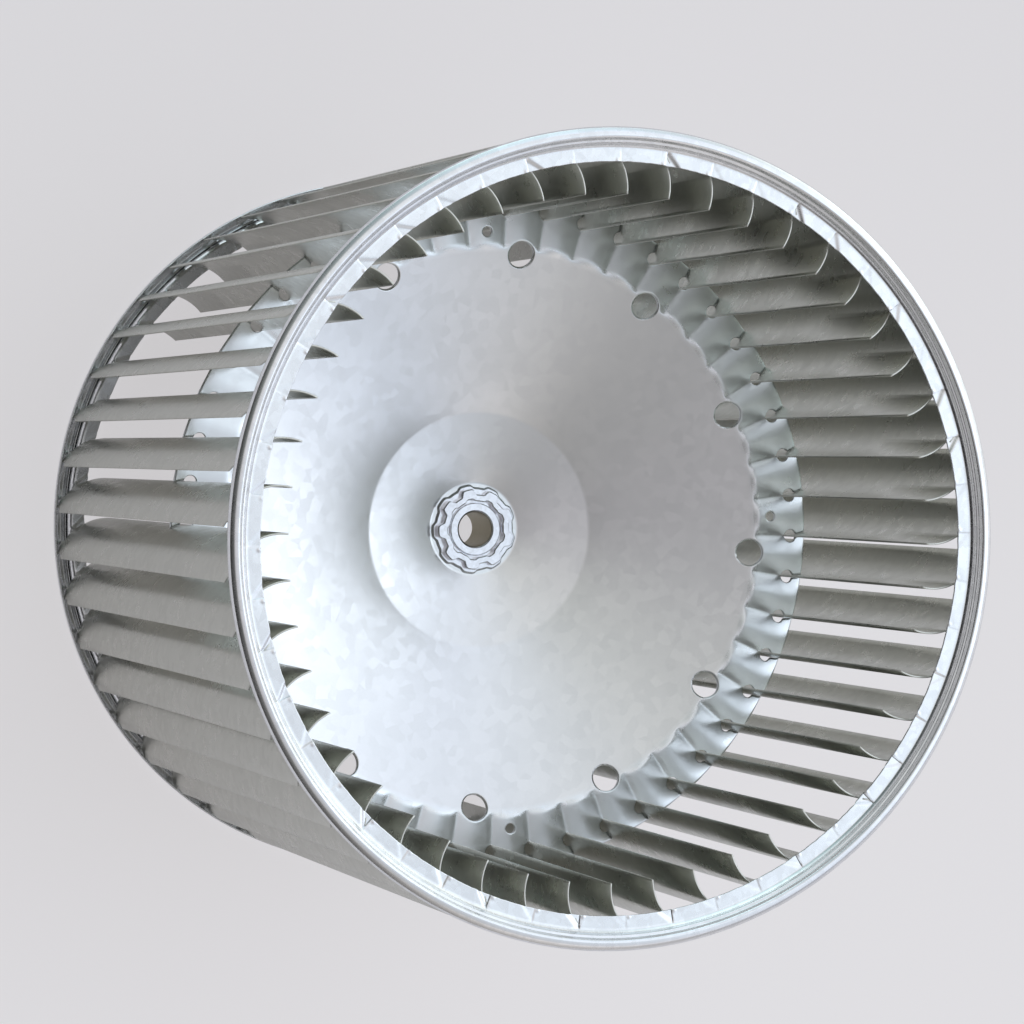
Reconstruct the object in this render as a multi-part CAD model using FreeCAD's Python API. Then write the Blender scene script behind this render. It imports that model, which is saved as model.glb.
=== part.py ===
import FreeCAD, Part
import math
import os

# A double-inlet blower wheel. Its 48 forward-curved sheet blades are held by two rolled end rings
# and slotted through a dished centre disc, which is staked to a bored hub.
# The wheel stands on its rear ring: +Z is the shaft axis and the floor is z = 0.
# Lengths are in millimetres and angles in degrees, counted anticlockwise seen from the front.

# Whole wheel
wheel_diameter = 270.0
wheel_width = 247.0

# Blades
blade_count = 48
blade_thickness = 0.6
blade_inner_radius = 113.5
blade_arc_radius = 18.7
blade_back_lean = 5.0
blade_first_angle = -1.0
blade_edge_setback = 0.5
blade_end_setback = 7.5
blade_corner_run = 2.1

# Tab and tongue at both ends of each blade
tab_inner_radius = 124.8
tab_side_clearance = 0.06
tongue_end_clearance = 1.05

# End rings, each one folded sheet: a flange, a stepped groove, a bead and a short outer wall
ring_sheet = 0.6
ring_bend_radius = 0.2
ring_flange_radius = 123.6
ring_flange_depth = 3.85
ring_groove_radius = 128.7
ring_ledge_radius = 129.3
ring_ledge_depth = 2.1
ring_ledge_width = 0.6
ring_ledge_rise = 0.3
ring_crest_radius = 130.8
ring_crest_width = 1.0
ring_shoulder_width = 1.7
ring_shoulder_drop = 0.25
ring_rim_depth = 1.7
ring_rim_width = 0.6
ring_wall_length = 3.4
ring_wall_draw_in = 0.15

# Centre disc: a dish in two bowls, a fold, and a rim band with one arched pad between two blades
disc_sheet = 1.2
disc_radius = 122.0
disc_band_height = 125.9
disc_fold_radius = 102.4
disc_fold_bend = 3.0
disc_fold_slope = 24.5
disc_flat_band = 1.2
disc_step_radius = 42.9
disc_step_depth = 19.3
disc_seat_radius = 18.5
disc_seat_depth = 6.9
disc_bowl_radius = 245.0
disc_cup_radius = 118.0
pad_rise = 1.0
pad_run_out = 2.0
pad_root_overlap = 0.4
slot_clearance = 0.12
relief_hole_radius = 2.4
relief_hole_circle = 116.3
fold_hole_count = 12
fold_hole_radius = 4.75
fold_hole_circle = 100.4
tooling_hole_count = 4
tooling_hole_radius = 1.9
tooling_hole_circle = 108.0

# Hub: a bored barrel behind the disc, and a lobed crown staked over the disc's front
bore_radius = 6.365
hub_length = 22.0
hub_barrel_radius = 14.3
hub_neck_radius = 11.6
hub_neck_clearance = 0.05
hub_chamfer = 0.7
hub_boss_radius = 9.7
hub_boss_height = 2.2
hub_flange_radius = 16.6
hub_flange_taper = 0.8
hub_flange_height = 0.9
crown_height = 3.4
crown_radius = 12.8
crown_inner_radius = 10.3
crown_edge_round = 0.4
crown_lobe_count = 9
crown_lobe_radius = 3.4
crown_lobe_circle = 11.0
crown_hollow_radius = 2.3
crown_hollow_circle = 8.8
crown_first_angle = 23.0

# Square-head set screw in the barrel behind the disc
screw_radius = 3.9
screw_hole_clearance = 0.05
screw_bore_margin = 0.6
screw_drop = 9.6
screw_angle = 175.25
screw_end_chamfer = 0.8
screw_neck_length = 1.4
screw_head_side = 9.5
screw_head_height = 5.0
screw_head_chamfer = 0.6

# Worked out from the sizes above
outer_radius = wheel_diameter / 2.0
blade_pitch = 360.0 / blade_count
pad_first_angle = blade_first_angle - blade_pitch / 2.0
blade_outer_radius = outer_radius - blade_edge_setback
flange_back_depth = ring_flange_depth + ring_sheet
ring_wall_inner_radius = outer_radius - ring_wall_draw_in - ring_sheet
tab_outer_radius = ring_wall_inner_radius - blade_thickness / 2.0 - tab_side_clearance
tongue_depth = ring_shoulder_drop + ring_sheet + tongue_end_clearance
disc_hole_radius = hub_neck_radius + hub_neck_clearance
disc_flat_end = disc_fold_radius + disc_flat_band
step_height = disc_band_height - disc_step_depth
seat_height = step_height - disc_seat_depth
seat_back_height = seat_height - disc_sheet
hub_top = seat_height + hub_boss_height
hub_bottom = hub_top - hub_length
screw_height = seat_back_height - screw_drop

origin = FreeCAD.Vector(0, 0, 0)
axis_x = FreeCAD.Vector(1, 0, 0)
axis_z = FreeCAD.Vector(0, 0, 1)


def section_point(radius, height):
    """Point of a section that is later turned round the shaft axis."""
    return FreeCAD.Vector(radius, 0, height)


def turned(face):
    """Solid of a section turned once round the shaft axis."""
    return face.revolve(origin, axis_z, 360)


def at_angle(shape, angle):
    """Copy of a shape, turned round the shaft axis."""
    copy = shape.copy()
    copy.rotate(origin, axis_z, angle)
    return copy


def pattern(shape, count, first_angle):
    """Evenly spaced copies of a shape round the shaft axis."""
    return [at_angle(shape, first_angle + number * 360.0 / count) for number in range(count)]


def drill(radius, circle_radius):
    """Upright cutter for a round hole in the disc, on the X axis."""
    low = section_point(circle_radius, seat_height)
    return Part.makeCylinder(radius, disc_band_height, low, axis_z)


def save(shape, node):
    """One STEP file for one piece."""
    if not shape.isValid() or len(shape.Solids) != 1:
        raise ValueError(node + " is not one valid solid")
    shape.Solids[0].exportStep("parts/" + node + ".step")


def folded_edges(corners, bend_radius, thickness):
    """Edges of a sheet's face along the corners. The sheet lies to their right, below them."""
    edges = []
    start = corners[0]
    for corner, after in zip(corners[1:-1], corners[2:]):
        back = (start - corner).normalize()
        ahead = (after - corner).normalize()
        turns_right = back.cross(ahead).y < 0
        radius = bend_radius + thickness if turns_right else bend_radius
        half_angle = back.getAngle(ahead) / 2.0
        trim = radius / math.tan(half_angle)
        centre = corner + (back + ahead).normalize() * (radius / math.sin(half_angle))
        bend_start = corner + back * trim
        bend_end = corner + ahead * trim
        bend_middle = centre + (corner - centre).normalize() * radius
        edges.append(Part.makeLine(start, bend_start))
        edges.append(Part.Arc(bend_start, bend_middle, bend_end).toShape())
        start = bend_end
    edges.append(Part.makeLine(start, corners[-1]))
    return edges


def sheet_section(edges, thickness):
    """Closed section of a sheet of this thickness, below its face's edges."""
    sharp_corners = 2
    return Part.Wire(edges).makeOffset2D(-thickness, sharp_corners, True, True)


# A blade's middle line is an arc that starts at the inner edge, leans back a little
# and then curls forward until it meets the blade's outer radius.
lean = math.radians(blade_back_lean)
arc_centre_x = blade_inner_radius + blade_arc_radius * math.sin(lean)
arc_centre_y = blade_arc_radius * math.cos(lean)
arc_centre_radius = math.hypot(arc_centre_x, arc_centre_y)
arc_centre_angle = math.degrees(math.atan2(arc_centre_y, arc_centre_x))
arc_start = -90.0 - blade_back_lean


def arc_angle_at(radius):
    """Angle round the arc's centre where the middle line is this far from the shaft axis."""
    squares = radius ** 2 - arc_centre_radius ** 2 - blade_arc_radius ** 2
    cosine = squares / (2.0 * arc_centre_radius * blade_arc_radius)
    return arc_centre_angle - math.degrees(math.acos(cosine))


arc_end = arc_angle_at(blade_outer_radius)
arc_tab_start = arc_angle_at(tab_inner_radius)
arc_tab_end = arc_angle_at(tab_outer_radius)
arc_tongue_start = arc_angle_at(ring_crest_radius + ring_sheet)


def arc_point(radius, angle, height):
    """Point at a radius and an angle round the blade arc's centre."""
    turn = math.radians(angle)
    x = arc_centre_x + radius * math.cos(turn)
    y = arc_centre_y + radius * math.sin(turn)
    return FreeCAD.Vector(x, y, height)


def arc_edge(radius, first, last, height):
    """Arc round the blade arc's centre."""
    middle = (first + last) / 2.0
    points = [arc_point(radius, angle, height) for angle in (first, middle, last)]
    return Part.Arc(*points).toShape()


def arc_sheet(first, last, low, high, thickness):
    """Upright curved sheet on the blade's middle line, between two arc angles and two heights."""
    inside = blade_arc_radius - thickness / 2.0
    outside = blade_arc_radius + thickness / 2.0
    edges = [
        arc_edge(outside, first, last, low),
        Part.makeLine(arc_point(outside, last, low), arc_point(inside, last, low)),
        arc_edge(inside, last, first, low),
        Part.makeLine(arc_point(inside, first, low), arc_point(outside, first, low)),
    ]
    return Part.Face(Part.Wire(edges)).extrude(FreeCAD.Vector(0, 0, high - low))


def blade_corner_cut(height, inward):
    """Cutter that slopes a blade's outer corner from its edge to the tab, and reaches past both."""
    overreach = 1.5
    cutter_width = 4.0 * blade_thickness
    tab_edge = arc_point(blade_arc_radius, arc_tab_end, height)
    blade_edge = arc_point(blade_arc_radius, arc_end, height)
    side = (blade_edge - tab_edge) * overreach
    slope = side + FreeCAD.Vector(0, 0, inward * blade_corner_run * overreach)
    middle_angle = (arc_end + arc_tab_end) / 2.0
    through = arc_point(cutter_width, middle_angle, 0) - arc_point(0, middle_angle, 0)
    first = tab_edge - through / 2.0
    outline = Part.makePolygon([first, first + side, first + slope, first])
    return Part.Face(outline).extrude(through)


def make_blade():
    """Blade at angle 0: a full-width body, and at both ends a tab under the ring's flange
    with a tongue in its bead."""
    body_low, body_high = blade_end_setback, wheel_width - blade_end_setback
    tab_low, tab_high = flange_back_depth, wheel_width - flange_back_depth
    tongue_low, tongue_high = tongue_depth, wheel_width - tongue_depth
    body = arc_sheet(arc_start, arc_end, body_low, body_high, blade_thickness)
    body = body.cut([blade_corner_cut(body_high, -1.0), blade_corner_cut(body_low, 1.0)])
    tab = arc_sheet(arc_tab_start, arc_tab_end, tab_low, tab_high, blade_thickness)
    tongue = arc_sheet(arc_tongue_start, arc_tab_end, tongue_low, tongue_high, blade_thickness)
    return body.fuse([tab, tongue]).removeSplitter()


def make_front_ring():
    """Front end ring, one folded sheet."""
    radii_and_depths = [
        (ring_flange_radius, ring_flange_depth),
        (ring_groove_radius, ring_flange_depth),
        (ring_ledge_radius, ring_ledge_depth),
        (ring_ledge_radius + ring_ledge_width, ring_ledge_depth - ring_ledge_rise),
        (ring_crest_radius, 0),
        (ring_crest_radius + ring_crest_width, 0),
        (outer_radius - ring_shoulder_width, ring_shoulder_drop),
        (outer_radius, ring_rim_depth),
        (outer_radius, ring_rim_depth + ring_rim_width),
        (outer_radius - ring_wall_draw_in, ring_wall_length),
    ]
    corners = [section_point(radius, wheel_width - depth) for radius, depth in radii_and_depths]
    edges = folded_edges(corners, ring_bend_radius, ring_sheet)
    return turned(sheet_section(edges, ring_sheet))


def bowl_arc(start, end, radius):
    """Arc of a bowl that curves upwards, from its lower and inner point to its upper one."""
    chord = end - start
    middle = (start + end) / 2.0
    outward = FreeCAD.Vector(chord.z, 0, -chord.x).normalize()
    sag = radius - math.sqrt(radius ** 2 - (chord.Length / 2.0) ** 2)
    return Part.Arc(start, middle + outward * sag, end).toBSpline().toShape()


def fold_point(slope):
    """Point of the disc's fold where its face slopes by this angle."""
    tilt = math.radians(slope)
    inward = disc_fold_bend * math.sin(tilt)
    drop = disc_fold_bend * (1.0 - math.cos(tilt))
    return section_point(disc_fold_radius - inward, disc_band_height - drop)


def make_dish():
    """The disc inside its rim band. Drawing thins its slopes, so its back is its face, one sheet lower."""
    hole = section_point(disc_hole_radius, seat_height)
    seat = section_point(disc_seat_radius, seat_height)
    step = section_point(disc_step_radius, step_height)
    fold_start = fold_point(disc_fold_slope)
    fold_middle = fold_point(disc_fold_slope / 2.0)
    fold_end = fold_point(0)
    band = section_point(disc_flat_end, disc_band_height)
    edges = [
        Part.makeLine(hole, seat),
        bowl_arc(seat, step, disc_cup_radius),
        bowl_arc(step, fold_start, disc_bowl_radius),
        Part.Arc(fold_start, fold_middle, fold_end).toBSpline().toShape(),
        Part.makeLine(fold_end, band),
    ]
    to_back = FreeCAD.Vector(0, 0, -disc_sheet)
    back_edges = [edge.copy() for edge in reversed(edges)]
    for edge in back_edges:
        edge.translate(to_back)
    rim_side = Part.makeLine(band, band + to_back)
    hole_side = Part.makeLine(hole + to_back, hole)
    return turned(Part.Face(Part.Wire(edges + [rim_side] + back_edges + [hole_side])))


def pad_section(radius, rise):
    """Section of a pad across the X axis, one blade pitch wide."""
    half_width = radius * math.tan(math.radians(blade_pitch / 2.0))
    front = disc_band_height
    back = disc_band_height - disc_sheet
    front_left = FreeCAD.Vector(radius, -half_width, front)
    front_right = FreeCAD.Vector(radius, half_width, front)
    back_left = FreeCAD.Vector(radius, -half_width, back)
    back_right = FreeCAD.Vector(radius, half_width, back)
    if rise:
        front_top = FreeCAD.Vector(radius, 0, front + rise)
        back_top = FreeCAD.Vector(radius, 0, back + rise)
        front_edge = Part.Arc(front_left, front_top, front_right).toShape()
        back_edge = Part.Arc(back_right, back_top, back_left).toShape()
    else:
        front_edge = Part.makeLine(front_left, front_right)
        back_edge = Part.makeLine(back_right, back_left)
    right_edge = Part.makeLine(front_right, back_right)
    left_edge = Part.makeLine(back_left, front_left)
    return Part.Wire([front_edge, right_edge, back_edge, left_edge])


def make_pad():
    """One arched pad of the rim band, on the X axis, with half of the slot at each side."""
    inner_end = disc_flat_end * math.cos(math.radians(blade_pitch / 2.0)) - pad_root_overlap
    arched = disc_flat_end + pad_run_out
    past_rim = disc_radius + disc_sheet
    above_disc = disc_band_height * 2.0
    sections = [
        pad_section(inner_end, 0),
        pad_section(disc_flat_end, 0),
        pad_section(arched, pad_rise),
        pad_section(past_rim, pad_rise),
    ]
    pad = Part.makeLoft(sections, True, True)
    rim = Part.makeCylinder(disc_radius, above_disc)
    slot_end = arc_angle_at(past_rim)
    slot_width = blade_thickness + 2.0 * slot_clearance
    slot = arc_sheet(arc_start, slot_end, seat_height, above_disc, slot_width)
    relief = Part.makeCylinder(
        relief_hole_radius,
        disc_band_height,
        arc_point(blade_arc_radius, arc_angle_at(relief_hole_circle), seat_height),
    )
    sides = (-blade_pitch / 2.0, blade_pitch / 2.0)
    cutters = [at_angle(cutter, side) for cutter in (slot, relief) for side in sides]
    return pad.common(rim).cut(cutters)


def make_centre_disc():
    """Centre disc, one pressed sheet."""
    pads = pattern(make_pad(), blade_count, pad_first_angle)
    disc = make_dish().fuse(pads)
    fold_holes = pattern(drill(fold_hole_radius, fold_hole_circle), fold_hole_count, pad_first_angle)
    tooling_holes = pattern(
        drill(tooling_hole_radius, tooling_hole_circle), tooling_hole_count, pad_first_angle + blade_pitch
    )
    return disc.cut(fold_holes + tooling_holes).removeSplitter()


def make_crown():
    """Lobed ring that is staked over the disc, hollowed round the boss."""
    wall_height = crown_height - hub_flange_height
    base = FreeCAD.Vector(0, 0, seat_height + hub_flange_height)
    lobe = Part.makeCylinder(crown_lobe_radius, wall_height, base + axis_x * crown_lobe_circle)
    hollow = Part.makeCylinder(crown_hollow_radius, wall_height, base + axis_x * crown_hollow_circle)
    outside = Part.makeCylinder(crown_radius, wall_height, base)
    inside = Part.makeCylinder(crown_inner_radius, wall_height, base)
    outside = outside.fuse(pattern(lobe, crown_lobe_count, crown_first_angle))
    inside = inside.fuse(pattern(hollow, crown_lobe_count, crown_first_angle))
    crown = outside.cut(inside).removeSplitter()
    top = seat_height + crown_height
    top_edges = [edge for edge in crown.Edges if edge.BoundBox.ZMin > top - crown_edge_round / 2.0]
    return crown.makeChamfer(crown_edge_round, top_edges)


def screw_direction():
    """Unit vector from the shaft axis along the set screw."""
    turn = math.radians(screw_angle)
    return FreeCAD.Vector(math.cos(turn), math.sin(turn), 0)


def make_hub():
    """Hub, one turned and staked piece."""
    bottom = FreeCAD.Vector(0, 0, hub_bottom)
    corners = [
        section_point(bore_radius + hub_chamfer, hub_bottom),
        section_point(hub_barrel_radius - hub_chamfer, hub_bottom),
        section_point(hub_barrel_radius, hub_bottom + hub_chamfer),
        section_point(hub_barrel_radius, seat_back_height),
        section_point(hub_neck_radius, seat_back_height),
        section_point(hub_neck_radius, seat_height),
        section_point(hub_flange_radius, seat_height),
        section_point(hub_flange_radius - hub_flange_taper, seat_height + hub_flange_height),
        section_point(hub_boss_radius, seat_height + hub_flange_height),
        section_point(hub_boss_radius, hub_top),
        section_point(bore_radius + hub_chamfer, hub_top),
        section_point(bore_radius, hub_top - hub_chamfer),
        section_point(bore_radius, hub_bottom + hub_chamfer),
    ]
    body = turned(Part.Face(Part.makePolygon(corners + corners[:1])))
    middle = bottom + axis_z * (screw_height - hub_bottom)
    hole_radius = screw_radius + screw_hole_clearance
    screw_hole = Part.makeCylinder(hole_radius, hub_barrel_radius * 2.0, middle, screw_direction())
    return body.fuse(make_crown()).cut(screw_hole).removeSplitter()


def make_set_screw():
    """Set screw, built along +X from the shaft axis and then turned to its place."""
    start = bore_radius + screw_bore_margin
    neck_end = hub_barrel_radius + screw_neck_length
    corners = [
        section_point(start, 0),
        section_point(start, screw_radius - screw_end_chamfer),
        section_point(start + screw_end_chamfer, screw_radius),
        section_point(neck_end, screw_radius),
        section_point(neck_end, 0),
    ]
    shank = Part.Face(Part.makePolygon(corners + corners[:1])).revolve(origin, axis_x, 360)
    corner = FreeCAD.Vector(neck_end, -screw_head_side / 2.0, -screw_head_side / 2.0)
    head = Part.makeBox(screw_head_height, screw_head_side, screw_head_side, corner)
    outer_face = neck_end + screw_head_height
    outer_edges = [edge for edge in head.Edges if edge.BoundBox.XMin > outer_face - screw_head_chamfer]
    screw = shank.fuse(head.makeChamfer(screw_head_chamfer, outer_edges)).removeSplitter()
    screw.translate(FreeCAD.Vector(0, 0, screw_height))
    return at_angle(screw, screw_angle)


os.makedirs("parts", exist_ok=True)

front_ring = make_front_ring()
rear_ring = front_ring.mirror(FreeCAD.Vector(0, 0, wheel_width / 2.0), axis_z)
save(front_ring, "front_end_ring")
save(rear_ring, "rear_end_ring")
save(make_centre_disc(), "centre_disc")
save(make_hub(), "hub")
save(make_set_screw(), "set_screw")
for number, blade in enumerate(pattern(make_blade(), blade_count, blade_first_angle), start=1):
    save(blade, "blade_%02d" % number)
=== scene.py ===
import math
import random

import bmesh
import bpy
from mathutils import Matrix, Vector, noise


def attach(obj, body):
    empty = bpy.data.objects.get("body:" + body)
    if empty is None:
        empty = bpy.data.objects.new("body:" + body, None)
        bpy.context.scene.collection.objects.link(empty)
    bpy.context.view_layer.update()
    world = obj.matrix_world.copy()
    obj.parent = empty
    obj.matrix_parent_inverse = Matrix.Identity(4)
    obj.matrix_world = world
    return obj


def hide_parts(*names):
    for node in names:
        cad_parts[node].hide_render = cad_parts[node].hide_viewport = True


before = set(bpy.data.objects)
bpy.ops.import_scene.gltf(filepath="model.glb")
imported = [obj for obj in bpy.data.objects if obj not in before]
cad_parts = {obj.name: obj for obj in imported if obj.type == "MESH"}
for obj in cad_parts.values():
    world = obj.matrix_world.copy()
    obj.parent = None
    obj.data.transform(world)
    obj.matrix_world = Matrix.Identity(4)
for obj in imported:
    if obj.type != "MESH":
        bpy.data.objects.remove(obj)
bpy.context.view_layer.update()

# Everything is shaped in millimetres and brought to metres when a piece is finished.
# Radii are taken from the shaft axis, heights from the floor, and angles in degrees round the shaft.
METRES = 0.001
WIDTH = 247.0
BLADES = 48
PITCH = 360.0 / BLADES
FIRST_BLADE = -1.0
SHAFT = Vector((0.0, 0.0, 1.0))
ORIGIN = Vector((0.0, 0.0, 0.0))
MERGE_REACH = 0.004

# Blade: an arc in plan, with a tab and a tongue at both ends
BLADE_SHEET = 0.6
ARC_CENTRE = Vector((115.13, 18.64, 0.0))
ARC_RADIUS = 18.7
BLADE_INNER = 113.5
TAB_INNER = 124.8
TONGUE_INNER = 131.4
TAB_OUTER = 133.89
BLADE_OUTER = 134.5
ARC_STOPS = ((TAB_INNER, 9), (TONGUE_INNER, 6), (TAB_OUTER, 2), (BLADE_OUTER, 1))
BODY_END = 7.5
TAB_END = 4.45
TONGUE_END = 1.9
BLADE_ROWS = (60.0, 123.5, 187.0, WIDTH - BODY_END)
CORNER_RUN = 2.1
CORNER_REACH = 10.0
BLADE_SOFTENING = 0.09

# End ring: the section is radius and depth below the wheel's end, from the flange over the bead to the wall
RING_SHEET = 0.6
FLANGE_INNER = 123.8
FLANGE_OUTER = 128.5
FLANGE_DEPTH = 3.85
RING_SECTION = (
    (FLANGE_INNER, FLANGE_DEPTH),
    (FLANGE_OUTER, FLANGE_DEPTH),
    (129.35, 2.95),
    (129.85, 1.85),
    (130.7, 1.65),
    (131.25, 0.35),
    (131.95, 0.0),
    (133.3, 0.2),
    (134.6, 0.85),
    (135.0, 1.65),
    (135.0, 2.3),
    (134.85, 3.4),
)
RING_BEND = 0.2
FLANGE_CUTS = 8
FLANGE_CROWDING = 1.4
FLANGE_BEND_RUN = 0.3

# Crimps: lengths along the flange's inner edge, from the crimp's end
# The columns of the ring's faces there are given as length and steps.
CRIMP_LENGTH = 5.2
CRIMP_BAND = 1.6
CRIMP_END = 0.25
CRIMP_REACH = 5.0
CRIMP_LEAD = 0.6
CRIMP_DEPTHS = (0.05, 0.1, 0.2, 0.35, 0.65)
CRIMP_SPREAD = (0.8, 1.2)
CRIMP_COLUMNS = ((5.25, 12), (0.35, 1), (0.2, 1), (2.0, 5))
COLUMNS_BEFORE = 5.6
COLUMNS_LENGTH = 7.8
PLAIN_COLUMNS = 5

# Nub beside each crimp with a shallow dent round it, and the flange's rough sheared edge
NUB_SIZES = (0.4, 0.8, 1.0)
NUB_FROM_BLADE = 3.1
NUB_ALONG = 1.2
NUB_ACROSS = 0.5
NUB_RADIUS = 0.42
NUB_RISE = 0.4
NUB_PUSH = 0.3
DOME_RADIUS = 1.7
DOME_SINK = 0.12
SHEAR_DEPTH = 0.14
SHEAR_BAND = 0.5
SHEAR_WAVES = 60.0

# Disc: (radius, height) where the seat, the step and the fold are on its front face
DISC_SHEET = 1.2
DISC_HOLE = 11.65
DISC_EDGE = 122.0
SEAT = (17.0, 99.7)
STEP = (42.9, 106.6)
FOLD = (102.4, 125.9)
FOLD_SLOPE = math.radians(19.5)
FOLD_BEND = 3.0
FOLD_START = (FOLD[0] - FOLD_BEND * math.sin(FOLD_SLOPE), FOLD[1] - FOLD_BEND * (1.0 - math.cos(FOLD_SLOPE)))
CUP_SLOPE = 0.295
CUP_RUN = 12.0
BOWL_SLOPE = 0.34
BOWL_RUN = 10.0

# Pads of the rim band, one between each two blades
PAD_RISE = 0.75
PAD_RUN = 2.6
PAD_CREST = 0.3
DIP_DEPTH = 0.06
DIP_RADIUS = 113.6
DIP_RUN = 1.7
RIM_DROP = 0.3
RIM_START = 119.6
RIM_RUN = 3.0
CREASE_DROP = 0.12
CREASE_START = 0.84
CREASE_RUN = 0.1

# Holes and slots of the disc, and the columns and rows of its faces
RELIEF_CIRCLE = 116.3
RELIEF_RADIUS = 2.4
RELIEF_COLLAR = 0.3
RELIEF_TURN_END = 118.4
FOLD_HOLES = 12
FOLD_HOLE_CIRCLE = 100.4
FOLD_HOLE_RADIUS = 4.75
FOLD_HOLE_COLLAR = 0.7
TOOLING_EVERY = 3
TOOLING_CIRCLE = 108.0
TOOLING_RADIUS = 1.9
TOOLING_COLLAR = 0.4
HOLE_MARGIN = 0.3
COLLAR_MARGIN = 0.01
SMALL_CIRCLE = 18
LARGE_CIRCLE = 36
SWEEP_START = 108.0
SWEEP_RUN = 5.0
SLOT_HALF = 0.2
RELIEF_HALF = 1.35
COLUMN_STOPS = (-2.3, -RELIEF_HALF, -0.6, -SLOT_HALF, SLOT_HALF, 0.6, RELIEF_HALF, 2.3, 3.26, 4.22)
SEAT_ROWS = (DISC_HOLE, 13.0, 15.0, 16.5, SEAT[0], 17.5, 19.0, 20.7, 22.5)
CUP_ROWS = (*(24.5 + 2.7 * step for step in range(7)), 42.3)
BOWL_ROWS = (STEP[0], 43.6, 45.0, *(48.0 + 3.0 * step for step in range(16)), 95.6, 98.0, 100.0)
FOLD_ROWS = (FOLD_START[0], 101.7, 102.1, FOLD[0], 102.8, 103.3, 103.9, 104.8, 106.2, 107.8, 109.4, 111.4)
RELIEF_ROWS = (113.3, 114.8, 116.3, 117.8, 119.3)
RIM_ROWS = (120.4, 121.3, DISC_EDGE)

# Hub: the section is radius and height, out from the bore's lower end, over the crown and back into the bore
HUB_TOP = 101.9
HUB_BOTTOM = 79.9
HUB_BACK = 98.5
BORE_RADIUS = 6.365
BORE_MOUTH = 7.065
CHAMFER = 0.7
BARREL_RADIUS = 14.3
NECK_RADIUS = 11.6
LIP_TOP = SEAT[1] + 0.9
LOBE_SHOULDER = SEAT[1] + 3.0
LOBE_TOP = SEAT[1] + 3.4
HUB_SECTION = (
    (BORE_MOUTH, HUB_BOTTOM),
    (13.6, HUB_BOTTOM),
    (BARREL_RADIUS, HUB_BOTTOM + CHAMFER),
    (BARREL_RADIUS, HUB_BACK),
    (NECK_RADIUS, HUB_BACK),
    (NECK_RADIUS, SEAT[1]),
    (16.6, SEAT[1]),
    (15.8, LIP_TOP),
    (12.8, LIP_TOP),
    (12.8, LOBE_SHOULDER),
    (12.4, LOBE_TOP),
    (10.7, LOBE_TOP),
    (10.3, LOBE_SHOULDER),
    (10.3, LIP_TOP),
    (9.7, LIP_TOP),
    (9.7, HUB_TOP - 0.3),
    (9.4, HUB_TOP),
    (BORE_MOUTH, HUB_TOP),
    (BORE_RADIUS, HUB_TOP - CHAMFER),
    (BORE_RADIUS, HUB_BOTTOM + CHAMFER),
)
HUB_STEPS = 144
LOBES = 9.0
LOBE_TURN = 23.0
LOBE_STEEPNESS = 0.9
LOBE_INNER_EDGE = 10.0
LOBE_MIDDLE = 11.6
LIP_INNER_EDGE = 15.0
LIP_BITE = 1.1
LIP_BIAS = 0.5
LOBE_OUT = 2.1
OUT_BIAS = 0.5
LOBE_IN = 0.8
IN_BIAS = 0.3
HEIGHT_MARGIN = 0.1

# Set screw: distances from the shaft axis along the screw
SCREW_HEIGHT = 88.9
SCREW_TURN = 175.25
STEM_MIDDLE = 11.3
STEM_LENGTH = 8.8
STEM_RADIUS = 3.9
HEAD_MIDDLE = 18.2
HEAD_LENGTH = 5.0
HEAD_WIDTH = 9.5
HEAD_SOFTENING = 0.55


def turn(degrees):
    """Turn round the shaft axis."""
    return Matrix.Rotation(math.radians(degrees), 4, "Z")


def polar(radius, degrees, height=0.0):
    """Point at a radius and an angle round the shaft axis."""
    angle = math.radians(degrees)
    return Vector((radius * math.cos(angle), radius * math.sin(angle), height))


def radius_and_angle(place):
    """Radius and angle in degrees of a point round the shaft axis."""
    return math.hypot(place.x, place.y), math.degrees(math.atan2(place.y, place.x))


def ease(share):
    """Soft step from 0 to 1."""
    share = min(1.0, max(0.0, share))
    return share * share * (3.0 - 2.0 * share)


def bell(distance):
    """Soft bump that is 1 at its middle and dies away after about two units."""
    return math.exp(-(distance**2))


def line_of(shape, points):
    """Row of points joined by edges."""
    corners = [shape.verts.new(point) for point in points]
    return [shape.edges.new(pair) for pair in zip(corners, corners[1:])]


def only(kind, items):
    """The items that are of one kind of mesh element."""
    return [item for item in items if isinstance(item, kind)]


def arc_turn_at(radius):
    """Angle round the blade arc's centre at a radius from the shaft axis."""
    reach = math.hypot(ARC_CENTRE.x, ARC_CENTRE.y)
    cosine = (radius**2 - reach**2 - ARC_RADIUS**2) / (2.0 * reach * ARC_RADIUS)
    return math.degrees(math.atan2(ARC_CENTRE.y, ARC_CENTRE.x)) - math.degrees(math.acos(cosine))


def arc_point(degrees):
    """Point of the blade's middle line at an angle round the arc's centre."""
    return ARC_CENTRE + ARC_RADIUS * polar(1.0, degrees)


def blade_angle_at(radius):
    """Angle round the shaft of the blade's middle line, from the blade's own zero."""
    place = arc_point(arc_turn_at(radius))
    return math.degrees(math.atan2(place.y, place.x))


def flange_degrees(length):
    """Angle round the shaft of a length along the flange's inner edge."""
    return math.degrees(length / FLANGE_INNER)


def finish_piece(shape, name, node, material, sharp=40.0):
    """Object from a shape in millimetres, riding on the wheel in the place of its CAD node."""
    bmesh.ops.scale(shape, vec=(METRES,) * 3, verts=shape.verts)
    mesh = bpy.data.meshes.new(name)
    shape.to_mesh(mesh)
    shape.free()
    mesh.polygons.foreach_set("use_smooth", [True] * len(mesh.polygons))
    mesh.set_sharp_from_angle(angle=math.radians(sharp))
    mesh.materials.append(material)
    piece = bpy.data.objects.new(name, mesh)
    bpy.context.scene.collection.objects.link(piece)
    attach(piece, "root")
    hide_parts(node)
    return piece


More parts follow.
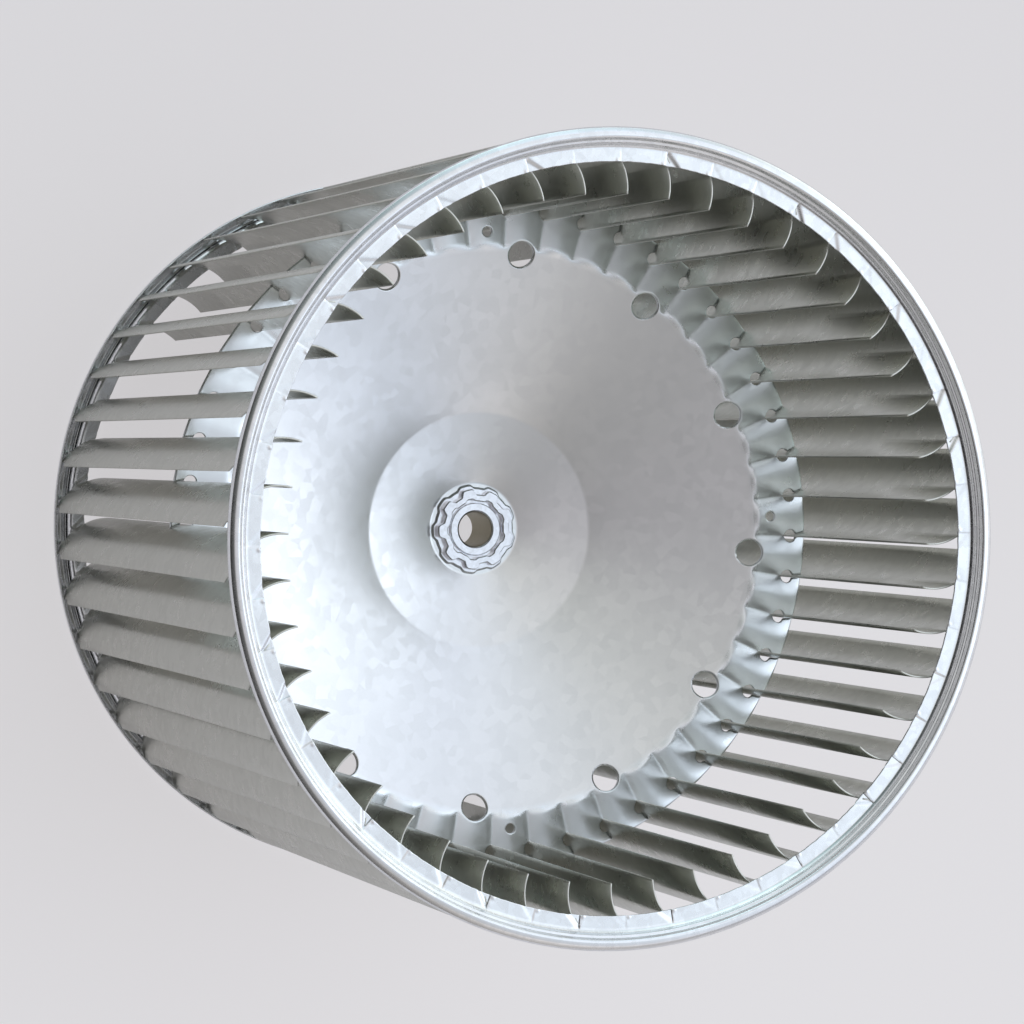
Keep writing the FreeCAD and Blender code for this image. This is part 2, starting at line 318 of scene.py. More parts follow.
def give_wall(piece, thickness, offset, even=True):
    """Sheet thickness, behind the shape at offset -1 and on both sides of it at 0."""
    wall = piece.modifiers.new("sheet", "SOLIDIFY")
    wall.thickness = thickness * METRES
    wall.offset = offset
    wall.use_even_offset = even


def soften_edges(piece, width):
    """Small chamfer along the cut edges."""
    softening = piece.modifiers.new("edge", "BEVEL")
    softening.width = width * METRES
    softening.segments = 1
    softening.limit_method = "ANGLE"
    softening.angle_limit = math.radians(45.0)
    softening.harden_normals = False


# Materials


class Finish:
    """Node tree of one finish, with short helpers."""

    def __init__(self, name):
        self.material = bpy.data.materials.new(name)
        self.material.use_nodes = True
        self.nodes = self.material.node_tree.nodes
        self.links = self.material.node_tree.links
        self.shader = self.nodes["Principled BSDF"]
        self.place = self.nodes.new("ShaderNodeTexCoord").outputs["Object"]

    def link(self, source, target):
        """Link from an output to an input."""
        self.links.new(source, target)

    def from_shaft(self):
        """Distance from the shaft axis, in metres."""
        reach = self.nodes.new("ShaderNodeVectorMath")
        reach.operation = "LENGTH"
        flat = self.nodes.new("ShaderNodeMapping")
        flat.inputs["Scale"].default_value = (1.0, 1.0, 0.0)
        self.link(self.place, flat.inputs["Vector"])
        self.link(flat.outputs["Vector"], reach.inputs[0])
        return reach.outputs["Value"]

    def noise(self, scale, detail, roughness=0.5):
        """Cloudy noise."""
        node = self.nodes.new("ShaderNodeTexNoise")
        node.inputs["Scale"].default_value = scale
        node.inputs["Detail"].default_value = detail
        node.inputs["Roughness"].default_value = roughness
        self.link(self.place, node.inputs["Vector"])
        return node.outputs["Fac"]

    def crystals(self, scale):
        """One grey for each cell of a crystal pattern."""
        node = self.nodes.new("ShaderNodeTexVoronoi")
        node.inputs["Scale"].default_value = scale
        self.link(self.place, node.inputs["Vector"])
        grey = self.nodes.new("ShaderNodeSeparateColor")
        self.link(node.outputs["Color"], grey.inputs["Color"])
        return grey.outputs["Red"]

    def span(self, value, low, high, from_low, from_high):
        """Value moved from one span to another."""
        node = self.nodes.new("ShaderNodeMapRange")
        node.inputs["From Min"].default_value = from_low
        node.inputs["From Max"].default_value = from_high
        node.inputs["To Min"].default_value = low
        node.inputs["To Max"].default_value = high
        self.link(value, node.inputs["Value"])
        return node.outputs["Result"]

    def math(self, kind, first, second):
        """Sum, product or the like of two values."""
        node = self.nodes.new("ShaderNodeMath")
        node.operation = kind
        for socket, value in zip(node.inputs, (first, second)):
            if isinstance(value, (int, float)):
                socket.default_value = value
            else:
                self.link(value, socket)
        return node.outputs["Value"]

    def share_of(self, value, share):
        """Value times a share."""
        return self.math("MULTIPLY", value, share)

    def ramp(self, value, stops):
        """Colour between two stops, each a position and a colour."""
        node = self.nodes.new("ShaderNodeValToRGB")
        for element, (position, colour) in zip(node.color_ramp.elements, stops):
            element.position = position
            element.color = (*colour, 1.0)
        self.link(value, node.inputs["Fac"])
        return node.outputs["Color"]

    def mix(self, share, first, second):
        """Blend from the colour of an output to a fixed colour."""
        node = self.nodes.new("ShaderNodeMix")
        node.data_type = "RGBA"
        self.link(share, node.inputs["Factor"])
        self.link(first, node.inputs["A"])
        node.inputs["B"].default_value = (*second, 1.0)
        return node.outputs["Result"]

    def bump(self, height, distance, strength):
        """Fine relief of the skin."""
        node = self.nodes.new("ShaderNodeBump")
        node.inputs["Distance"].default_value = distance
        node.inputs["Strength"].default_value = strength
        self.link(height, node.inputs["Height"])
        self.link(node.outputs["Normal"], self.shader.inputs["Normal"])


def tinted(colour, share):
    """Colour made lighter or darker by a share."""
    return tuple(min(1.0, channel * (1.0 + share)) for channel in colour)


# Scale, detail and roughness of the noises, their shares in the tone, and what the tone does
HAZE = (38.0, 4.0, 0.6)
GRAIN = (1500.0, 3.0, 0.6)
CRYSTAL_SHARE = 0.3
HAZE_SHARE = 0.5
GRAIN_SHARE = 0.2
TONE_LOW = 0.3
TONE_HIGH = 0.7
GLOSS_SPREAD = 0.04
RELIEF_STRENGTH = 0.5


def zinc_finish(name, colour, contrast, rough, spangle, relief, zone=None):
    """Galvanised sheet: crystals in the zinc, a soft haze and a fine grain.

    A zone is a start and an end radius, and the colour of painted light (a painted sheen or painted shade)
    and the added roughness past the end.
    """
    finish = Finish(name)
    crystals = finish.crystals(spangle)
    haze = finish.noise(*HAZE)
    grain = finish.noise(*GRAIN)
    coarse = finish.math("ADD", finish.share_of(crystals, CRYSTAL_SHARE), finish.share_of(haze, HAZE_SHARE))
    tone = finish.math("ADD", coarse, finish.share_of(grain, GRAIN_SHARE))
    finish.shader.inputs["Metallic"].default_value = 1.0
    gloss = finish.span(tone, rough + GLOSS_SPREAD, rough - GLOSS_SPREAD, TONE_LOW, TONE_HIGH)
    stops = [(TONE_LOW, tinted(colour, -contrast)), (TONE_HIGH, tinted(colour, contrast))]
    skin = finish.ramp(tone, stops)
    if zone:
        start, end, painted_light_colour, duller = zone
        share = finish.span(finish.from_shaft(), 0.0, 1.0, start * METRES, end * METRES)
        gloss = finish.math("ADD", gloss, finish.share_of(share, duller))
        skin = finish.mix(share, skin, painted_light_colour)
    finish.link(skin, finish.shader.inputs["Base Color"])
    finish.link(gloss, finish.shader.inputs["Roughness"])
    finish.bump(grain, relief, RELIEF_STRENGTH)
    return finish.material


# Painted highlight: the disc's band past the fold is painted a lighter bluish white for the bright reflection
# on its pads, and is duller where it was pressed.
BAND_SHEEN_AND_DULLNESS = (FOLD[0] - 2.0, FOLD[0] + 2.0, (0.93, 0.97, 1.0), 0.1)
# Painted shade: the hub's bore is painted dark brown for the shade inside it, and is made duller.
BORE_SHADE_AND_DULLNESS = (6.7, 6.45, (0.42, 0.38, 0.28), 0.1)
ring_zinc = zinc_finish(
    "ring zinc", (0.88, 0.89, 0.91), contrast=0.05, rough=0.26, spangle=420.0, relief=0.00001
)
blade_zinc = zinc_finish(
    "blade zinc", (0.66, 0.66, 0.61), contrast=0.04, rough=0.30, spangle=320.0, relief=0.000003
)
disc_zinc = zinc_finish(
    "disc zinc", (0.78, 0.79, 0.80), contrast=0.03, rough=0.21, spangle=260.0, relief=0.000004, zone=BAND_SHEEN_AND_DULLNESS
)
hub_steel = zinc_finish(
    "hub plating", (0.84, 0.85, 0.90), contrast=0.06, rough=0.22, spangle=900.0, relief=0.000008,
    zone=BORE_SHADE_AND_DULLNESS,
)
screw_steel = zinc_finish(
    "screw plating", (0.40, 0.39, 0.38), contrast=0.2, rough=0.35, spangle=900.0, relief=0.000008
)

# End rings

# Angle of the first crimp's end, from which the lengths of a crimp and its nub are measured
crimp_zero = FIRST_BLADE + blade_angle_at(FLANGE_INNER) + flange_degrees(NUB_FROM_BLADE - NUB_ALONG)


def ring_strip():
    """One blade pitch of the ring's face, from the flange's inner edge over the bead to the wall."""
    strip = bmesh.new()
    line = line_of(strip, [Vector((radius, 0.0, WIDTH - depth)) for radius, depth in RING_SECTION])
    bends = [vert for vert in strip.verts if len(vert.link_edges) == 2]
    bmesh.ops.bevel(
        strip, geom=bends + line, offset=RING_BEND, offset_type="OFFSET", segments=2, profile=0.5,
        affect="VERTICES", material=-1,
    )
    flange = max(strip.edges, key=lambda edge: edge.calc_length())
    bmesh.ops.subdivide_edges(strip, edges=[flange], cuts=FLANGE_CUTS)
    span = FLANGE_OUTER - FLANGE_INNER
    for vert in strip.verts:
        if vert.co.x < FLANGE_OUTER - FLANGE_BEND_RUN:
            vert.co.x = FLANGE_INNER + span * ((vert.co.x - FLANGE_INNER) / span) ** FLANGE_CROWDING
    bmesh.ops.rotate(strip, matrix=turn(crimp_zero - flange_degrees(COLUMNS_BEFORE)), verts=strip.verts)
    columns = [(flange_degrees(length), steps) for length, steps in CRIMP_COLUMNS]
    columns.append((PITCH - flange_degrees(COLUMNS_LENGTH), PLAIN_COLUMNS))
    chain = strip.verts[:] + strip.edges[:]
    for angle, steps in columns:
        made = bmesh.ops.spin(
            strip, geom=chain, cent=ORIGIN, axis=SHAFT, angle=math.radians(angle), steps=steps,
            use_merge=False,
        )
        chain = made["geom_last"]
    return strip


def repeat_round(shape):
    """A copy for every other blade pitch round the shaft, merged where they meet."""
    first = shape.verts[:] + shape.edges[:] + shape.faces[:]
    for number in range(1, BLADES):
        copy = bmesh.ops.duplicate(shape, geom=first)["geom"]
        bmesh.ops.rotate(shape, matrix=turn(PITCH * number), verts=only(bmesh.types.BMVert, copy))
    bmesh.ops.remove_doubles(shape, verts=shape.verts, dist=MERGE_REACH)


def crimp(shape, depths, nubs, seed):
    """Crimps, nubs and the sheared inner edge of the flange, each a little different."""
    arc_length = math.radians(1.0) * FLANGE_INNER
    for vert in shape.verts:
        radius, angle = radius_and_angle(vert.co)
        across = radius - FLANGE_INNER
        if across > FLANGE_OUTER - FLANGE_INNER:
            continue
        turns = (angle - crimp_zero + PITCH * CRIMP_LEAD) / PITCH
        number = math.floor(turns) % BLADES
        along = ((turns % 1.0) - CRIMP_LEAD) * PITCH * arc_length
        run = along + CRIMP_LENGTH * (1.0 - across / CRIMP_REACH)
        sunk = depths[number] * ease(run / CRIMP_BAND) * ease((CRIMP_END - along) / CRIMP_END)
        from_nub = math.hypot(along - NUB_ALONG, across - NUB_ACROSS)
        nub = bell(from_nub / NUB_RADIUS) * nubs[number]
        dome = bell(from_nub / DOME_RADIUS) * nubs[number]
        wave = noise.noise(polar(SHEAR_WAVES, angle, seed))
        edge = SHEAR_DEPTH * wave * bell(across / SHEAR_BAND)
        vert.co.z += NUB_RISE * nub - DOME_SINK * dome - sunk
        vert.co += polar(1.0, angle) * (edge - NUB_PUSH * nub)


def make_ring(name, node, rear, seed):
    """End ring: the front one, or the same one turned over for the rear."""
    random.seed(seed)
    depths = [random.choice(CRIMP_DEPTHS) * random.uniform(*CRIMP_SPREAD) for _ in range(BLADES)]
    nubs = [random.choice(NUB_SIZES) for _ in range(BLADES)]
    shape = ring_strip()
    repeat_round(shape)
    crimp(shape, depths, nubs, seed)
    if rear:
        bmesh.ops.scale(shape, vec=(1.0, 1.0, -1.0), verts=shape.verts)
        bmesh.ops.translate(shape, vec=(0.0, 0.0, WIDTH), verts=shape.verts)
    bmesh.ops.recalc_face_normals(shape, faces=shape.faces)
    outermost = max(shape.faces, key=lambda face: math.hypot(*face.calc_center_median().xy))
    outward = polar(1.0, radius_and_angle(outermost.calc_center_median())[1])
    if outermost.normal.dot(outward) < 0:
        bmesh.ops.reverse_faces(shape, faces=shape.faces)
    ring = finish_piece(shape, name, node, ring_zinc, sharp=50.0)
    give_wall(ring, RING_SHEET, -1.0)


make_ring("front_ring", "front_end_ring", rear=False, seed=3)
make_ring("rear_ring", "rear_end_ring", rear=True, seed=8)

# Blades


def raised(shape, edges, height):
    """Faces from a row of edges up or down to a height, and the row at their far end."""
    made = bmesh.ops.extrude_edge_only(shape, edges=edges)["geom"]
    for vert in only(bmesh.types.BMVert, made):
        vert.co.z = height
    return only(bmesh.types.BMEdge, made)


def between(edges, low, high):
    """The edges whose middle lies between two radii."""
    chosen = []
    for edge in edges:
        middle = (edge.verts[0].co + edge.verts[1].co) / 2.0
        if low < math.hypot(middle.x, middle.y) < high:
            chosen.append(edge)
    return chosen


def make_blade(number):
    """Blade: the arc raised to the body's height with its outer corners cut back, then tabs and tongues."""
    shape = bmesh.new()
    here = arc_turn_at(BLADE_INNER)
    chain = [shape.verts.new(arc_point(here) + SHAFT * BODY_END)]
    for radius, steps in ARC_STOPS:
        there = arc_turn_at(radius)
        made = bmesh.ops.spin(
            shape, geom=chain, cent=ARC_CENTRE, axis=SHAFT, angle=math.radians(there - here), steps=steps,
            use_merge=False,
        )
        chain = only(bmesh.types.BMVert, made["geom_last"])
        here = there
    low_edges = shape.edges[:]
    top_edges = low_edges
    for height in BLADE_ROWS:
        top_edges = raised(shape, top_edges, height)
    for vert in shape.verts:
        if math.hypot(vert.co.x, vert.co.y) > (TAB_OUTER + BLADE_OUTER) / 2.0:
            if vert.co.z < CORNER_REACH:
                vert.co.z += CORNER_RUN
            if vert.co.z > WIDTH - CORNER_REACH:
                vert.co.z -= CORNER_RUN
    for edges, tab_height, tongue_height in (
        (low_edges, TAB_END, TONGUE_END),
        (top_edges, WIDTH - TAB_END, WIDTH - TONGUE_END),
    ):
        tab = raised(shape, between(edges, TAB_INNER, TAB_OUTER), tab_height)
        raised(shape, between(tab, TONGUE_INNER, TAB_OUTER), tongue_height)
    bmesh.ops.recalc_face_normals(shape, faces=shape.faces)
    bmesh.ops.rotate(shape, matrix=turn(FIRST_BLADE + PITCH * number), verts=shape.verts)
    name = "vane_%02d" % (number + 1)
    node = "blade_%02d" % (number + 1)
    blade = finish_piece(shape, name, node, blade_zinc)
    give_wall(blade, BLADE_SHEET, 0.0)
    soften_edges(blade, BLADE_SOFTENING)


for number in range(BLADES):
    make_blade(number)

# Disc


def dish_height(radius, start, end, slope, run):
    """Height between two points on a dish that starts at a slope and runs straight after a short bend."""
    length = end[0] - start[0]
    straight = (end[1] - start[1] - slope * run / 2.0) / (length - run / 2.0)
    out = radius - start[0]
    eased = min(out, run)
    height = start[1] + slope * eased + (straight - slope) * eased**2 / (2.0 * run)
    return height + straight * (out - eased)


def pad_rise_at(radius):
    """Height of a pad's crest over the band: quick rise at the fold, a shallow dip, a rolled rim."""
    rise = PAD_RISE * ease((radius - FOLD_START[0]) / PAD_RUN)
    dip = DIP_DEPTH * bell((radius - DIP_RADIUS) / DIP_RUN)
    rim = RIM_DROP * ease((radius - RIM_START) / RIM_RUN)
    return rise - dip - rim


def pad_arch(share):
    """Share of the crest's height across a pad: two flat slopes, a soft crest, a crease at each blade."""
    slopes = (math.hypot(share, PAD_CREST) - PAD_CREST) / (math.hypot(1.0, PAD_CREST) - PAD_CREST)
    crease = CREASE_DROP * ease((abs(share) - CREASE_START) / CREASE_RUN)
    return 1.0 - slopes - crease


def disc_height(radius, angle):
    """Height of the disc's front face."""
    if radius <= SEAT[0]:
        return SEAT[1]
    if radius <= STEP[0]:
        return dish_height(radius, SEAT, STEP, CUP_SLOPE, CUP_RUN)
    if radius <= FOLD_START[0]:
        return dish_height(radius, STEP, FOLD_START, BOWL_SLOPE, BOWL_RUN)
    out = min(radius, FOLD[0]) - FOLD[0]
    band = FOLD[1] - FOLD_BEND + math.sqrt(FOLD_BEND**2 - out**2)
    share = ((angle - FIRST_BLADE) / PITCH) % 1.0 * 2.0 - 1.0
    return band + pad_rise_at(radius) * pad_arch(share)


def round_hole(shape, centre, radius, segments, collar, start=0.0, block=None):
    """Round hole in the flat sheet.

    The faces near the hole, or those of a block, are lifted out. A collar of even faces and a fill take
    their place. The collar's first corner is at the start angle.
    """
    outline = {edge for edge in shape.edges if edge.is_boundary}
    if block is None:
        reach = radius + collar + HOLE_MARGIN
        near = {vert for vert in shape.verts if (vert.co - centre).length < reach}
        patch = [face for face in shape.faces if any(vert in near for vert in face.verts)]
    else:
        patch = [face for face in shape.faces if block(*radius_and_angle(face.calc_center_median()))]
    bmesh.ops.delete(shape, geom=patch, context="FACES")
    rim = [edge for edge in shape.edges if edge.is_boundary and edge not in outline]
    placing = Matrix.Translation(centre) @ turn(start)
    circles = []
    for size in (radius, radius + collar):
        made = bmesh.ops.create_circle(shape, cap_ends=False, radius=size, segments=segments, matrix=placing)
        circles.append(list({edge for vert in made["verts"] for edge in vert.link_edges}))
    bmesh.ops.bridge_loops(shape, edges=circles[0] + circles[1])
    bmesh.ops.triangle_fill(shape, use_beauty=True, normal=SHAFT, edges=rim + circles[1])


def relief_hole(shape, blade):
    """Round hole at the inner end of a blade's slot, in a block of faces that the slot's columns cross."""

    def near(radius, angle):
        return RELIEF_ROWS[0] < radius < RELIEF_ROWS[-1] and abs(angle - blade) < RELIEF_HALF

    centre = polar(RELIEF_CIRCLE, blade)
    round_hole(shape, centre, RELIEF_RADIUS, SMALL_CIRCLE, RELIEF_COLLAR, blade, near)


def flat_sector(blades):
    """Faces of four blade pitches of the flat sheet, in columns that stand beside each blade's slot."""
    shape = bmesh.new()
    rows = [*SEAT_ROWS, *CUP_ROWS, *BOWL_ROWS, *FOLD_ROWS, *RELIEF_ROWS, *RIM_ROWS]
    line_of(shape, [Vector((radius, 0.0, 0.0)) for radius in rows])
    stops = [blade + stop for blade in blades for stop in COLUMN_STOPS]
    stops.append(blades[-1] + PITCH + COLUMN_STOPS[0])
    bmesh.ops.rotate(shape, matrix=turn(stops[0]), verts=shape.verts)
    chain = shape.verts[:] + shape.edges[:]
    for first, last in zip(stops, stops[1:]):
        made = bmesh.ops.spin(
            shape, geom=chain, cent=ORIGIN, axis=SHAFT, angle=math.radians(last - first), steps=1,
            use_merge=False,
        )
        chain = made["geom_last"]
    return shape


def disc_sector(with_tooling_hole):
    """Four blade pitches of the flat sheet, with holes and with slots that follow the blades' arc."""
    blades = [FIRST_BLADE + PITCH * number for number in (-2, -1, 0, 1)]
    shape = flat_sector(blades)
    for blade in blades:
        relief_hole(shape, blade)
    pad = FIRST_BLADE - PITCH / 2.0
    round_hole(shape, polar(FOLD_HOLE_CIRCLE, pad), FOLD_HOLE_RADIUS, LARGE_CIRCLE, FOLD_HOLE_COLLAR)
    if with_tooling_hole:
        round_hole(shape, polar(TOOLING_CIRCLE, pad + PITCH), TOOLING_RADIUS, SMALL_CIRCLE, TOOLING_COLLAR)
    slots = []
    for face in shape.faces:
        radius, angle = radius_and_angle(face.calc_center_median())
        if radius > RELIEF_CIRCLE + RELIEF_RADIUS and min(abs(angle - blade) for blade in blades) < SLOT_HALF:
            slots.append(face)
    bmesh.ops.delete(shape, geom=slots, context="FACES")
    for vert in shape.verts:
        radius, angle = radius_and_angle(vert.co)
        from_relief = min((vert.co - polar(RELIEF_CIRCLE, blade)).length for blade in blades)
        on_relief = from_relief < RELIEF_RADIUS + RELIEF_COLLAR + COLLAR_MARGIN and radius < RELIEF_TURN_END
        along = RELIEF_CIRCLE if on_relief else max(radius, BLADE_INNER)
        swept = angle + blade_angle_at(along) * ease((radius - SWEEP_START) / SWEEP_RUN)
        vert.co = polar(radius, swept)
    return shape


def make_disc():
    """Centre disc: flat sectors with their holes, joined round the shaft and then dished."""
    whole = bmesh.new()
    for number in range(FOLD_HOLES):
        sector = disc_sector(number % TOOLING_EVERY == 0)
        bmesh.ops.rotate(sector, matrix=turn(360.0 / FOLD_HOLES * number), verts=sector.verts)
        mesh = bpy.data.meshes.new("sector")
        sector.to_mesh(mesh)
        sector.free()
        whole.from_mesh(mesh)
        bpy.data.meshes.remove(mesh)
    bmesh.ops.remove_doubles(whole, verts=whole.verts, dist=MERGE_REACH)
    for vert in whole.verts:
        radius, angle = radius_and_angle(vert.co)
        vert.co.z = disc_height(radius, angle)
    bmesh.ops.recalc_face_normals(whole, faces=whole.faces)
    if sum(face.normal.z for face in whole.faces) < 0:
        bmesh.ops.reverse_faces(whole, faces=whole.faces)
    disc = finish_piece(whole, "dished_disc", "centre_disc", disc_zinc, sharp=60.0)
    give_wall(disc, DISC_SHEET, -1.0, even=False)


make_disc()

# Hub and set screw


def lobed(radius, angle, height):
    """Radius of a point of the crown, or of the lip round it, with the lobes worked in."""
    lobe = LOBE_STEEPNESS * math.cos(math.radians((angle - LOBE_TURN) * LOBES))
    if radius > LIP_INNER_EDGE:
        return radius - LIP_BITE * ease(LIP_BIAS - lobe)
    if height < LIP_TOP - HEIGHT_MARGIN:
        return radius
    if radius > LOBE_MIDDLE:
        return radius + LOBE_OUT * ease(OUT_BIAS + lobe)
    return radius + LOBE_IN * ease(IN_BIAS + lobe)


def make_hub():
    """Hub: a turned section, with a crown of lobes pressed over the disc's front."""
    shape = bmesh.new()
    line = line_of(shape, [Vector((radius, 0.0, height)) for radius, height in HUB_SECTION])
    shape.edges.new((line[-1].verts[1], line[0].verts[0]))
    bmesh.ops.spin(
        shape, geom=shape.verts[:] + shape.edges[:], cent=ORIGIN, axis=SHAFT, angle=2.0 * math.pi,
        steps=HUB_STEPS, use_merge=True,
    )
    for vert in shape.verts:
        radius, angle = radius_and_angle(vert.co)
        if vert.co.z > SEAT[1] - HEIGHT_MARGIN and radius > LOBE_INNER_EDGE:
            vert.co = polar(lobed(radius, angle, vert.co.z), angle, vert.co.z)
    bmesh.ops.recalc_face_normals(shape, faces=shape.faces)
    finish_piece(shape, "hub_body", "hub", hub_steel, sharp=32.0)


def make_screw():
    """Set screw: a plain round stem and a square head with softened edges."""
    shape = bmesh.new()
    lying = Matrix.Translation((STEM_MIDDLE, 0.0, 0.0)) @ Matrix.Rotation(math.pi / 2.0, 4, "Y")
    bmesh.ops.create_cone(
        shape, cap_ends=True, segments=32, radius1=STEM_RADIUS, radius2=STEM_RADIUS, depth=STEM_LENGTH,
        matrix=lying,
    )
    sizes = Matrix.Diagonal((HEAD_LENGTH, HEAD_WIDTH, HEAD_WIDTH, 1.0))
    head = bmesh.ops.create_cube(shape, size=1.0, matrix=Matrix.Translation((HEAD_MIDDLE, 0.0, 0.0)) @ sizes)
    edges = {edge for vert in head["verts"] for edge in vert.link_edges}
    bmesh.ops.bevel(
        shape, geom=sorted(edges, key=lambda edge: edge.calc_length()), offset=HEAD_SOFTENING, segments=3,
        profile=0.5, affect="EDGES", material=-1,
    )
    bmesh.ops.translate(shape, vec=(0.0, 0.0, SCREW_HEIGHT), verts=shape.verts)
    bmesh.ops.rotate(shape, matrix=turn(SCREW_TURN), verts=shape.verts)
    bmesh.ops.recalc_face_normals(shape, faces=shape.faces)
    finish_piece(shape, "square_screw", "set_screw", screw_steel, sharp=35.0)


make_hub()
make_screw()

# Floor: pale paper with a painted glow of its own, lighter towards -Y and in cloudy patches, which keeps the
# ground light round the wheel

FLOOR_HALF = 4.0
FLOOR_CELLS = 8
PAPER_COLOUR = (0.74, 0.72, 0.75, 1.0)
PAPER_ROUGHNESS = 0.8
# Painted glow: its colours, the Y span and levels of its painted falloff, and its cloudy patches of painted
# light
GLOW_COLOURS = ((0.86, 0.84, 0.86), (1.0, 0.98, 1.0))
PAINTED_FALLOFF_SPAN = (-0.3, 0.3)
PAINTED_FALLOFF_LEVELS = (0.65, 0.35)
GLOW_CLOUDS = (1.2, 2.0)
GLOW_SEEN = 0.62
GLOW_MIRRORED = 0.3
GLOW_CLOUD_SHARE = 0.4
PAINTED_FALLOFF_SHARE = 0.6


def paper_finish():
    """Matt paper with a share of painted glow for the camera, and about half of it in the metal's
    reflections.
    """
    paper = Finish("studio paper with painted glow")
    paper.shader.inputs["Base Color"].default_value = PAPER_COLOUR
    paper.shader.inputs["Roughness"].default_value = PAPER_ROUGHNESS
    axes = paper.nodes.new("ShaderNodeSeparateXYZ")
    paper.link(paper.place, axes.inputs["Vector"])
    painted_light_patches = paper.noise(*GLOW_CLOUDS)
    # Painted falloff: the glow is lighter towards -Y and darker towards +Y, with cloudy patches of painted
    # light.
    rise = paper.span(axes.outputs["Y"], *PAINTED_FALLOFF_LEVELS, *PAINTED_FALLOFF_SPAN)
    tone = paper.math("ADD", paper.share_of(painted_light_patches, GLOW_CLOUD_SHARE), paper.share_of(rise, PAINTED_FALLOFF_SHARE))
    glow = paper.nodes.new("ShaderNodeEmission")
    colour = paper.ramp(tone, list(zip((TONE_LOW, TONE_HIGH), GLOW_COLOURS)))
    paper.link(colour, glow.inputs["Color"])
    rays = paper.nodes.new("ShaderNodeLightPath").outputs
    looked_at = paper.math("MAXIMUM", rays["Is Camera Ray"], rays["Is Transmission Ray"])
    mirrored = paper.share_of(rays["Is Glossy Ray"], GLOW_MIRRORED)
    seen = paper.math("MAXIMUM", paper.share_of(looked_at, GLOW_SEEN), mirrored)
    blend = paper.nodes.new("ShaderNodeMixShader")
    for socket, source in zip(blend.inputs, (seen, paper.shader.outputs[0], glow.outputs[0])):
        paper.link(source, socket)
    paper.link(blend.outputs[0], paper.nodes["Material Output"].inputs["Surface"])
    return paper.material


floor_shape = bmesh.new()
bmesh.ops.create_grid(floor_shape, x_segments=FLOOR_CELLS, y_segments=FLOOR_CELLS, size=FLOOR_HALF)
floor_mesh = bpy.data.meshes.new("studio_floor")
floor_shape.to_mesh(floor_mesh)
floor_shape.free()
floor = bpy.data.objects.new("studio_floor", floor_mesh)
bpy.context.scene.collection.objects.link(floor)
floor_mesh.materials.append(paper_finish())

# Light

SOFTNESS = 16.0
SKY_LIGHTS = (
    # angle from the shaft and turn of a soft light in degrees, and its colour times its strength
    (0, 0, (0.36, 0.33, 0.36)),
    (25, 0, (0.48, 0.58, 0.64)),
    (25, 60, (0.35, 0.33, 0.30)),
    (25, 120, (0.32, 0.34, 0.32)),
    (25, 240, (0.24, 0.24, 0.23)),
    (50, 0, (1.21, 1.28, 1.40)),
    (50, 36, (0.43, 0.45, 0.54)),
    (50, 72, (0.69, 0.77, 0.88)),
    (50, 288, (0.78, 0.74, 0.71)),
    (50, 324, (0.36, 0.39, 0.46)),
    (75, 30, (0.95, 1.08, 0.98)),
    (75, 90, (0.70, 1.00, 1.00)),
)
HORIZON = (0.66, 0.65, 0.67)
HORIZON_FADE = (0.18, 0.38)

world = bpy.data.worlds.new("studio")
bpy.context.scene.world = world
world.use_nodes = True
sky = world.node_tree
direction = sky.nodes.new("ShaderNodeTexCoord").outputs["Generated"]


def sky_node(kind, operation, *values):
    """Math node of the surroundings, with its inputs set or linked."""
    node = sky.nodes.new(kind)
    node.operation = operation
    for socket, value in zip(node.inputs, values):
        if isinstance(value, bpy.types.NodeSocket):
            sky.links.new(value, socket)
        else:
            socket.default_value = value
    return node.outputs


def sky_colour(colour, share):
    """Colour times a share that is worked out for each direction."""
    scaled = sky.nodes.new("ShaderNodeVectorMath")
    scaled.operation = "SCALE"
    scaled.inputs[0].default_value = colour
    sky.links.new(share, scaled.inputs["Scale"])
    return scaled.outputs["Vector"]


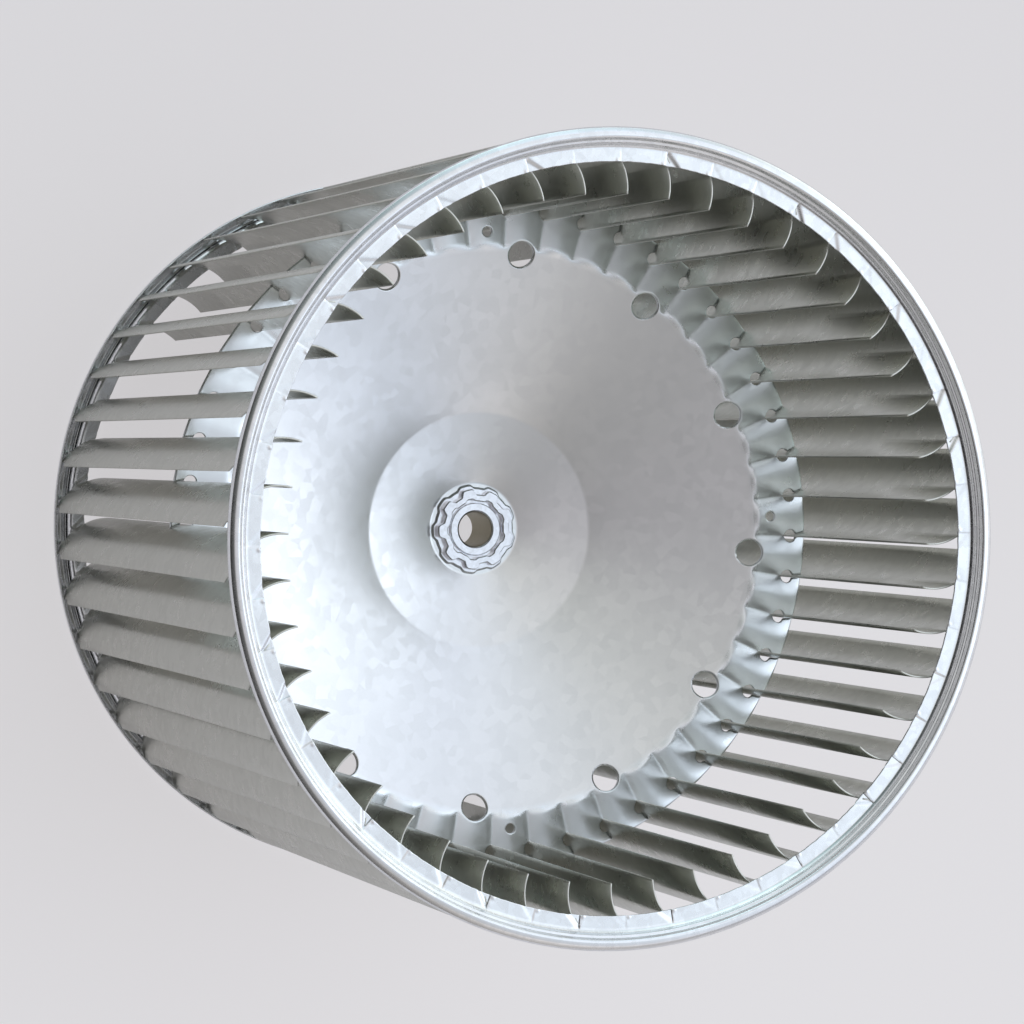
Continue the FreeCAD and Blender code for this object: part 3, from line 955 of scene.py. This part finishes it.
def sky_light(polar_angle, azimuth, colour):
    """Soft light of the surroundings, strongest in one direction."""
    aim = turn(azimuth) @ Matrix.Rotation(math.radians(polar_angle), 4, "Y") @ SHAFT
    facing_it = sky_node("ShaderNodeVectorMath", "DOT_PRODUCT", direction, aim)["Value"]
    depth = sky_node("ShaderNodeMath", "MULTIPLY_ADD", facing_it, SOFTNESS, -SOFTNESS)["Value"]
    return sky_colour(colour, sky_node("ShaderNodeMath", "EXPONENT", depth)["Value"])


def horizon_band():
    """Pale walls round the studio, seen by the camera and in the metal."""
    height = sky.nodes.new("ShaderNodeSeparateXYZ")
    sky.links.new(direction, height.inputs["Vector"])
    fade = sky.nodes.new("ShaderNodeMapRange")
    fade.interpolation_type = "SMOOTHSTEP"
    fade.inputs["From Min"].default_value, fade.inputs["From Max"].default_value = HORIZON_FADE
    fade.inputs["To Min"].default_value, fade.inputs["To Max"].default_value = 1.0, 0.0
    sky.links.new(height.outputs["Z"], fade.inputs["Value"])
    rays = sky.nodes.new("ShaderNodeLightPath").outputs
    seen_by = sky_node("ShaderNodeMath", "MAXIMUM", rays["Is Camera Ray"], rays["Is Glossy Ray"])["Value"]
    seen_by = sky_node("ShaderNodeMath", "MAXIMUM", seen_by, rays["Is Transmission Ray"])["Value"]
    share = sky_node("ShaderNodeMath", "MULTIPLY", fade.outputs["Result"], seen_by)["Value"]
    return sky_colour(HORIZON, share)


around = horizon_band()
for light in SKY_LIGHTS:
    around = sky_node("ShaderNodeVectorMath", "ADD", around, sky_light(*light))["Vector"]
sky.links.new(around, sky.nodes["Background"].inputs["Color"])

# Camera, in metres

CAMERA_PLACE = (-0.41695, 0.02793, 1.2405)
CAMERA_RIGHT = Vector((0.93519, 0.00671, 0.35407))
CAMERA_UP = Vector((0.0, 0.99982, -0.01896))
CAMERA_BACK = Vector((-0.35413, 0.01773, 0.93503))

camera_data = bpy.data.cameras.new("camera")
camera_data.lens = 115.8
camera_data.sensor_width = 36.0
camera_data.sensor_fit = "HORIZONTAL"
camera_data.clip_end = 50.0
camera = bpy.data.objects.new("camera", camera_data)
facing = Matrix((CAMERA_RIGHT, CAMERA_UP, CAMERA_BACK)).transposed().to_4x4()
camera.matrix_world = Matrix.Translation(CAMERA_PLACE) @ facing
bpy.context.scene.collection.objects.link(camera)
bpy.context.scene.camera = camera

bpy.context.scene.view_settings.view_transform = "Standard"
